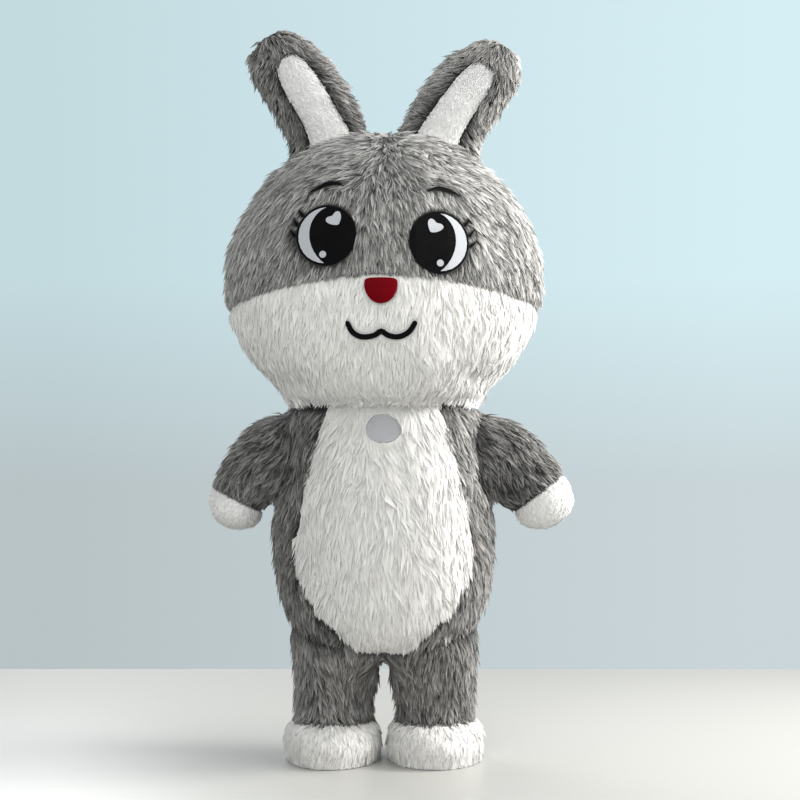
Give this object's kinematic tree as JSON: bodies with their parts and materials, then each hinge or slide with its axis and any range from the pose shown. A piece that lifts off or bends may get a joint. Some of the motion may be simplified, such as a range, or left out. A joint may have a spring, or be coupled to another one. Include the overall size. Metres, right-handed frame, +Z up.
{
  "type": "inflatable rabbit costume",
  "caption": "walk-in inflatable rabbit suit in long grey and white plush, filled out and standing, with ears, throat window, back zip and blower",
  "frame": {"origin": "on the floor under the middle of the suit's outline, as the ears and arms lean a little to the wearer's left; the wearer's middle plane is at x = -0.0305", "axes": "+Z up, the rabbit faces -Y, the wearer's left is +X"},
  "size_m": [1.493, 1.1891, 2.9553],
  "materials": {
    "grey_pile": "long brushed plush pile, mid grey",
    "pale_grey_pile": "long brushed plush pile, paler grey",
    "white_pile": "long brushed plush pile, warm white",
    "short_white_pile": "shorter, smoother white pile",
    "sole_cloth": "coated woven cloth, dark grey",
    "black_felt": "flat black felt",
    "white_felt": "flat white felt",
    "red_satin": "padded dark red satin",
    "window_mesh": "fine grey see-through mesh",
    "zip_tape": "woven tape",
    "metal": "dull plated metal",
    "plastic": "moulded black plastic"
  },
  "bodies": {
    "suit": {"belly": "white_pile", "blower_duct": "plastic", "blower_flange": "plastic", "blower_grille": "plastic", "face": "white_pile", "forehead": "pale_grey_pile", "left_back": "grey_pile", "left_brow": "black_felt", "left_crown": "pale_grey_pile", "left_ear_back": "grey_pile", "left_ear_front": "grey_pile", "left_ear_inner": "short_white_pile", "left_eye": "black_felt", "left_eye_heart": "white_felt", "left_eye_spot": "white_felt", "left_eye_white": "white_felt", "left_foot": "white_pile", "left_head_back": "pale_grey_pile", "left_lash_1": "black_felt", "left_lash_2": "black_felt", "left_lash_3": "black_felt", "left_leg": "grey_pile", "left_mitt": "short_white_pile", "left_side": "grey_pile", "left_sleeve": "grey_pile", "left_sole": "sole_cloth", "left_zip_tape": "zip_tape", "mouth": "black_felt", "nose": "red_satin", "right_back": "grey_pile", "right_brow": "black_felt", "right_crown": "pale_grey_pile", "right_ear_back": "grey_pile", "right_ear_front": "grey_pile", "right_ear_inner": "short_white_pile", "right_eye": "black_felt", "right_eye_heart": "white_felt", "right_eye_spot": "white_felt", "right_eye_white": "white_felt", "right_foot": "white_pile", "right_head_back": "pale_grey_pile", "right_lash_1": "black_felt", "right_lash_2": "black_felt", "right_lash_3": "black_felt", "right_leg": "grey_pile", "right_mitt": "short_white_pile", "right_side": "grey_pile", "right_sleeve": "grey_pile", "right_sole": "sole_cloth", "right_zip_tape": "zip_tape", "window": "window_mesh", "zip_slider": "metal"},
    "pull_tab": {"zip_pull": "metal"},
    "rotor": {"blower_rotor": "plastic"}
  },
  "joints": [
    {"name": "pull_tab_swing", "type": "hinge", "parent": "suit", "child": "pull_tab", "pos_m": [-0.0305, 0.36672, 1.31185], "axis": [1, 0, 0], "range_deg": [0, 160]},
    {"name": "rotor_spin", "type": "hinge", "parent": "suit", "child": "rotor", "pos_m": [-0.23771, 0.3521, 0.735], "axis": [-0.5299, 0.848, 0], "continuous": true}
  ]
}
